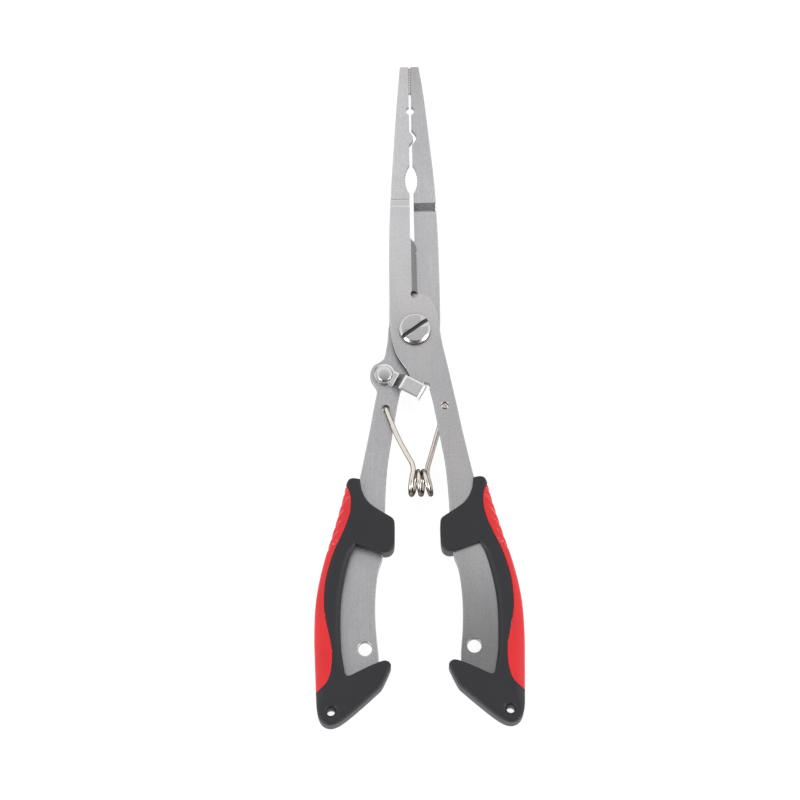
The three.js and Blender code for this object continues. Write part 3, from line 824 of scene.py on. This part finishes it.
def pivot_nut():
    """A thin hexagon nut with its outer corners turned down. The tools reach past what they cut."""
    low, high, bore = NUT["low"], NUT["high"], NUT["bore"]
    corner = NUT["flats"] / 2 / math.cos(math.pi / 6)
    blank = lathe("pivot_nut_pressed", [(0, low), (corner, low), (corner, high), (0, high)], PIVOT, sides=6)
    across, along = NUT["chamfer"]
    dome = lathe("tool", [(0, low), (corner - across, low), (corner + 0.1, low + along),
                          (corner + 0.1, high + 0.1), (0, high + 0.1)], PIVOT)
    hole = lathe("tool", [(0, low - 1), (bore, low - 1), (bore, high + 1), (0, high + 1)], PIVOT)
    return soften(cut(cut(blank, dome, how="INTERSECT"), hole), NUT["round"])


def washer(name, sizes, foot):
    inner, outer, low, high = (sizes[key] for key in ("inner", "outer", "low", "high"))
    return soften(lathe(name, [(inner, low), (outer, low), (outer, high), (inner, high)], foot), WASHER_ROUND)


def in_slot_or_rim(centre, normal):
    """The screw head's slot, and its rim below the bright crown: painted dark, as shade."""
    outwards = (at(*centre) - PIVOT).xy.length / MM
    slot = outwards < HEAD["flat"] and HEAD["seat"] < centre.z < HEAD["top"] - 0.1
    return slot or outwards > HEAD["flat"] and normal.z < RIM_SLOPE


screw = pivot_screw()
place(screw, "rear_half", HARDWARE, "hardware_steel", "pivot_screw")
refinish(screw, SHADED_STEEL, in_slot_or_rim)
place(pivot_nut(), "rear_half", HARDWARE, "hardware_steel", "pivot_nut")
place(washer("pivot_washer_pressed", WASHER, PIVOT), "rear_half", HARDWARE, "hardware_steel", "pivot_washer")


# ---------------------------------------------------------------- latch
def rounded_path(corners, radius, step):
    """Points along a path of straight runs joined by bends of one radius."""
    corners = [np.array(c, float) for c in corners]
    points = [corners[0]]
    for before, corner, after in zip(corners, corners[1:], corners[2:]):
        arrive = (corner - before) / np.linalg.norm(corner - before)
        leave = (after - corner) / np.linalg.norm(after - corner)
        turn = math.atan2(arrive[0] * leave[1] - arrive[1] * leave[0], arrive @ leave)
        reach = radius * math.tan(abs(turn) / 2)
        start = corner - arrive * reach
        normal = np.array([-arrive[1], arrive[0]]) * math.copysign(1, turn)
        centre = start + normal * radius
        steps = max(3, math.ceil(abs(turn) * radius / step))
        for k in range(steps + 1):
            angle = turn * k / steps
            spoke = start - centre
            points.append(centre + np.array([spoke[0] * math.cos(angle) - spoke[1] * math.sin(angle),
                                             spoke[0] * math.sin(angle) + spoke[1] * math.cos(angle)]))
    points.append(corners[-1])
    return np.array(points)


def latch_half_width(x, left):
    """Half the strip's width at x, with some length left to its end: a round eye at the rivet, then a
    straight strip with small end corners."""
    corner = LATCH["corner"]
    if left < corner:
        return LATCH["half"] - corner + math.sqrt(max(corner ** 2 - (corner - left) ** 2, 0))
    eye = math.sqrt(max(LATCH["eye"] ** 2 - x * x, 0))
    return max(eye, LATCH["half"] if x > 0 else 0, NARROWEST)


def latch_strip():
    """Sheet steel, cut flat and bent up over the front lever and down again behind the catch."""
    low, high, length = LATCH["low"], LATCH["high"], LATCH["length"]
    bends = rounded_path([(0, low), (LATCH["rise_from"], low), (LATCH["rise_to"], high), (length, high),
                          (length, LATCH["tab_end"])], LATCH["bend"], LATCH_STEPS["bend"])
    eye_turns = [math.pi / 2 * k / LATCH_STEPS["eye"] for k in range(LATCH_STEPS["eye"])]
    path = [(-LATCH["eye"] * math.cos(turn), low) for turn in eye_turns]
    corner_from = bends[-1] + np.array([0, LATCH["corner"]])
    for start, end in zip(bends, bends[1:]):
        steps = max(1, math.ceil(np.linalg.norm(end - start) / LATCH_STEPS["run"]))
        stretch = [start + (end - start) * k / steps for k in range(steps)]
        path += [p for p in stretch if p[0] < length - 0.01 or p[1] >= corner_from[1]]
    corner_steps = LATCH_STEPS["corner"]
    path += [corner_from + (bends[-1] - corner_from) * k / corner_steps for k in range(corner_steps + 1)]
    path = np.array(path)
    along = np.concatenate([[0], np.cumsum(np.linalg.norm(np.diff(path, axis=0), axis=1))])
    directions = np.gradient(path, axis=0)
    directions /= np.linalg.norm(directions, axis=1)[:, None]
    bm = bmesh.new()
    turn = Matrix.Rotation(math.radians(LATCH["angle"]), 3, "Z")
    columns = LATCH_STEPS["across"]
    sheets = []
    for face in (1, -1):
        rows = []
        for (x, z), (dx, dz), left in zip(path, directions, along[-1] - along):
            width = latch_half_width(x if z < low + 0.01 else length, left)
            half = face * LATCH["sheet"] / 2
            row = [Vector((x - dz * half, width * (2 * k / columns - 1), z + dx * half))
                   for k in range(columns + 1)]
            rows.append([bm.verts.new(RIVET_PLACE + turn @ point * MM) for point in row])
        sheets.append(rows)
    for rows in sheets:
        for near, far in zip(rows, rows[1:]):
            for k in range(columns):
                bm.faces.new([near[k], near[k + 1], far[k + 1], far[k]])
    top, under = sheets
    for k in range(len(top) - 1):
        for side in (0, -1):
            bm.faces.new([top[k][side], top[k + 1][side], under[k + 1][side], under[k][side]])
    for end in (0, -1):
        for k in range(columns):
            bm.faces.new([top[end][k], top[end][k + 1], under[end][k + 1], under[end][k]])
    strip = from_bmesh("latch_bent", bm)
    hole = lathe("tool", [(0, -1), (LATCH["bore"], -1), (LATCH["bore"], 3), (0, 3)], RIVET_PLACE, 48)
    return soften(cut(strip, hole), LATCH["round"], angle=50)


def latch_rivet():
    """A domed head in front, and one hammered flat at the rear."""
    head, shank, rear_head = RIVET["head"], RIVET["shank"], RIVET["rear_head"]
    rear, under = RIVET["rear"], RIVET["under"]
    end = rear - RIVET["rear_height"]
    across, along = RIVET["chamfer"]
    dome = []
    for angle in RIVET_ANGLES:
        turn = math.radians(angle)
        height = (RIVET["dome"] - RIVET["rim"]) * math.sin(turn)
        dome.append((head * math.cos(turn) ** RIVET["fullness"], under + RIVET["rim"] + height))
    profile = [(0, end), *[(rear_head - inset, end + rise) for inset, rise in RIVET["rear_crown"]],
               (rear_head, rear - RIVET["rear_rim"]), (rear_head, rear), (shank, rear), (shank, under),
               (head - across, under), (head, under + along), *dome, (0, under + RIVET["dome"])]
    return lathe("latch_rivet_headed", profile, RIVET_PLACE)


def on_riser_or_side(centre, normal):
    """The steep stretch of the latch, which only ever sees its own low end, and the strip's sheared sides,
    painted dark: a painted reflection on the riser and painted shade on the sides.
    """
    along = (Matrix.Rotation(-math.radians(LATCH["angle"]), 3, "Z") @ (at(*centre) - RIVET_PLACE)).x / MM
    riser = LATCH["rise_from"] - 0.3 < along < LATCH["rise_to"] - 0.2 and 0.4 < normal.z < 0.85
    return riser or along < LATCH["length"] - 1 and abs(normal.z) < LATCH_SLOPE


strip = latch_strip()
place(strip, "latch", LATCH_STEEL, "latch_steel", "latch")
refinish(strip, LATCH_PAINTED_SHADE, on_riser_or_side)
rivet = latch_rivet()
place(rivet, "rear_half", HARDWARE, "hardware_steel", "latch_rivet")
# the rivet's sides are painted dark, as shade
refinish(rivet, SHADED_STEEL, lambda centre, normal: abs(normal.z) < RIVET_SLOPE)
place(washer("latch_washer_pressed", LATCH_WASHER, RIVET_PLACE), "rear_half", HARDWARE, "hardware_steel",
      "latch_washer")


# ---------------------------------------------------------------- spring
def coil_point(turn):
    """The wire's centre after so many turns. The turns fan out towards the handles."""
    angle = 2 * math.pi * (turn + 0.25)
    pitch = COIL["pitch"] - COIL["fan"] * math.cos(angle)
    return Vector((COIL["x"] + (turn - COIL["turns"] / 2) * pitch,
                   COIL["y"] + COIL["radius"] * math.cos(angle), COIL["radius"] * math.sin(angle)))


def leg_points(side):
    """From inside a lever's hole to the coil: -1 is the left leg, in front, and 1 the right one, behind."""
    lift = -side
    hole = Vector((side * SPRING_HOLE[0], SPRING_HOLE[1], 0))
    knee_x = coil_point(0 if side < 0 else COIL["turns"]).x + KNEE["left" if side < 0 else "right"]
    run = Vector((knee_x, KNEE["y"], 0)) - hole
    climb = [(0.025, LEG_HEIGHT * 0.75), (0.07, LEG_HEIGHT), (0.14, LEG_HEIGHT + 0.15),
             (0.35, LEG_HEIGHT + 0.6), (0.6, LEG_HEIGHT + 1.15), (0.85, KNEE["height"] - 0.35),
             (0.97, KNEE["height"] - 0.05)]
    inside = [hole + Vector((0, 0, -lift * depth)) for depth in HOLE_DEPTHS]
    bow = -BOW if side < 0 else 0
    leg = [hole + run * share + Vector((bow * math.sin(math.pi * share), 0, lift * height))
           for share, height in climb]
    return [*inside, *leg, Vector((knee_x - side * 0.1, KNEE["y"] - 1.6, lift * (KNEE["height"] + 0.3)))]


def through(points, step):
    """A centripetal Catmull-Rom curve through points, sampled about every step."""
    points = [2 * points[0] - points[1], *points, 2 * points[-1] - points[-2]]
    result = []
    for p0, p1, p2, p3 in zip(points, points[1:], points[2:], points[3:]):
        t1 = (p1 - p0).length ** 0.5
        t2 = t1 + (p2 - p1).length ** 0.5
        t3 = t2 + (p3 - p2).length ** 0.5
        steps = max(1, math.ceil((p2 - p1).length / step))
        for k in range(steps):
            t = t1 + (t2 - t1) * k / steps
            a1 = p0 * ((t1 - t) / t1) + p1 * (t / t1)
            a2 = p1 * ((t2 - t) / (t2 - t1)) + p2 * ((t - t1) / (t2 - t1))
            a3 = p2 * ((t3 - t) / (t3 - t2)) + p3 * ((t - t2) / (t3 - t2))
            b1 = a1 * ((t2 - t) / t2) + a2 * (t / t2)
            b2 = a2 * ((t3 - t) / (t3 - t1)) + a3 * ((t - t1) / (t3 - t1))
            result.append(b1 * ((t2 - t) / (t2 - t1)) + b2 * ((t - t1) / (t2 - t1)))
    return [*result, points[-2]]


def wire(name, points, radius, sides=20):
    """A round wire along a path, with its section carried along without twisting."""
    bm = bmesh.new()
    directions = [(b - a).normalized() for a, b in zip(points, points[1:])]
    directions.append(directions[-1])
    across = directions[0].orthogonal().normalized()
    rings = []
    for point, direction in zip(points, directions):
        across = (across - direction * across.dot(direction)).normalized()
        other = direction.cross(across)
        rings.append([bm.verts.new(at(*(point + (across * x + other * y) * radius)))
                      for x, y in circle(sides)])
    for near, far in zip(rings, rings[1:]):
        for side in range(sides):
            after = (side + 1) % sides
            bm.faces.new([near[side], near[after], far[after], far[side]])
    bm.faces.new(rings[0])
    bm.faces.new(rings[-1])
    return from_bmesh(name, bm, 60)


coil = [coil_point(COIL["turns"] * k / COIL_STEPS) for k in range(COIL_STEPS + 1)]
spring_path = through([*leg_points(-1), *coil, *reversed(leg_points(1))], WIRE_STEP)
spring_wire = wire("spring_wire", spring_path, WIRE)
spring_wire.data.materials.append(SPRING_STEEL)
# the wire's sides are painted darker, as shade
refinish(spring_wire, SHADED_WIRE, lambda centre, normal: abs(normal.z) < WIRE_SLOPE)
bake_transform(spring_wire)
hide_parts("spring_left_half", "spring_right_half")


# ---------------------------------------------------------------- floor, light and camera
def floor():
    """A floor that glows nearly white, just below the pliers."""
    material, shader = new_material("floor_white", [FLOOR["base"]] * 3, 0.0, 0.9)
    shader.inputs["Specular IOR Level"].default_value = 0.0
    shader.inputs["Emission Color"].default_value = (1, 1, 1, 1)
    shader.inputs["Emission Strength"].default_value = FLOOR["glow"]
    bm = bmesh.new()
    bmesh.ops.create_grid(bm, x_segments=1, y_segments=1, size=FLOOR["half_size"])
    ground = from_bmesh("floor", bm)
    ground.location.z = CAD_BOX[0].z - FLOOR["below"] * MM
    ground.data.materials.append(material)


def shade_by(world, toward, start, end, low, high):
    """Brightness from low to high as the direction's cosine towards an axis goes from start to end."""
    nodes, links = tree_of(world)
    direction = nodes.new("ShaderNodeTexCoord")
    facing = nodes.new("ShaderNodeVectorMath")
    facing.operation = "DOT_PRODUCT"
    facing.inputs[1].default_value = toward
    links.new(direction.outputs["Generated"], facing.inputs[0])
    return map_range(world, facing.outputs["Value"], start, end, low, high, "SMOOTHSTEP")


def lobe(world, elevation, outer, inner, low, high):
    """A round patch of the tent towards -Y at an elevation, from one brightness outside to another inside."""
    up = math.radians(elevation)
    return shade_by(world, (0, -math.cos(up), math.sin(up)), math.cos(math.radians(outer)),
                    math.cos(math.radians(inner)), low, high)


def light_tent():
    """A white tent, thinner overhead, dim along its foot, and with a soft dark opening on the side where
    a person would stand."""
    world = bpy.data.worlds.new("tent")
    bpy.context.scene.world = world
    world.use_nodes = True
    opening = lobe(world, 32, outer=36, inner=20, low=1.15, high=0.07)
    overhead = lobe(world, 80, outer=37, inner=6, low=1.0, high=0.34)
    foot = shade_by(world, (0, 0, 1), 0.02, 0.2, 0.4, 1.0)
    world.node_tree.links.new(product(world, opening, overhead, foot),
                              world.node_tree.nodes["Background"].inputs["Color"])


def softbox(name, location):
    """A square lamp that faces the pivot."""
    data = bpy.data.lights.new(name, "AREA")
    data.shape = "SQUARE"
    data.size = SOFTBOX["size"]
    data.energy = SOFTBOX["power"]
    lamp = bpy.data.objects.new(name, data)
    bpy.context.scene.collection.objects.link(lamp)
    lamp.location = location
    lamp.rotation_mode = "QUATERNION"
    lamp.rotation_quaternion = (PIVOT - Vector(location)).to_track_quat("-Z", "Y")


def camera():
    """Nearly overhead, leaning towards the handles, and a degree off square."""
    data = bpy.data.cameras.new("camera")
    data.sensor_width = CAMERA["sensor"]
    data.lens = CAMERA["lens"]
    thing = bpy.data.objects.new("camera", data)
    bpy.context.scene.collection.objects.link(thing)
    lean = math.radians(CAMERA["lean"])
    roll = Matrix.Rotation(math.radians(CAMERA["roll"]), 3, "Z")
    right = roll @ Vector((1, 0, 0))
    up = roll @ Vector((0, math.cos(lean), math.sin(lean)))
    back = roll @ Vector((0, -math.sin(lean), math.cos(lean)))
    rotation = Matrix((right, up, back)).transposed().to_4x4()
    thing.matrix_world = Matrix.Translation(at(*CAMERA["aim"]) + back * CAMERA["distance"]) @ rotation
    bpy.context.scene.camera = thing


floor()
light_tent()
softbox("softbox_left", (-0.73, -0.64, 0.52))
softbox("softbox_right", (0.83, -0.5, 0.52))
camera()
bpy.context.scene.view_settings.view_transform = "Standard"
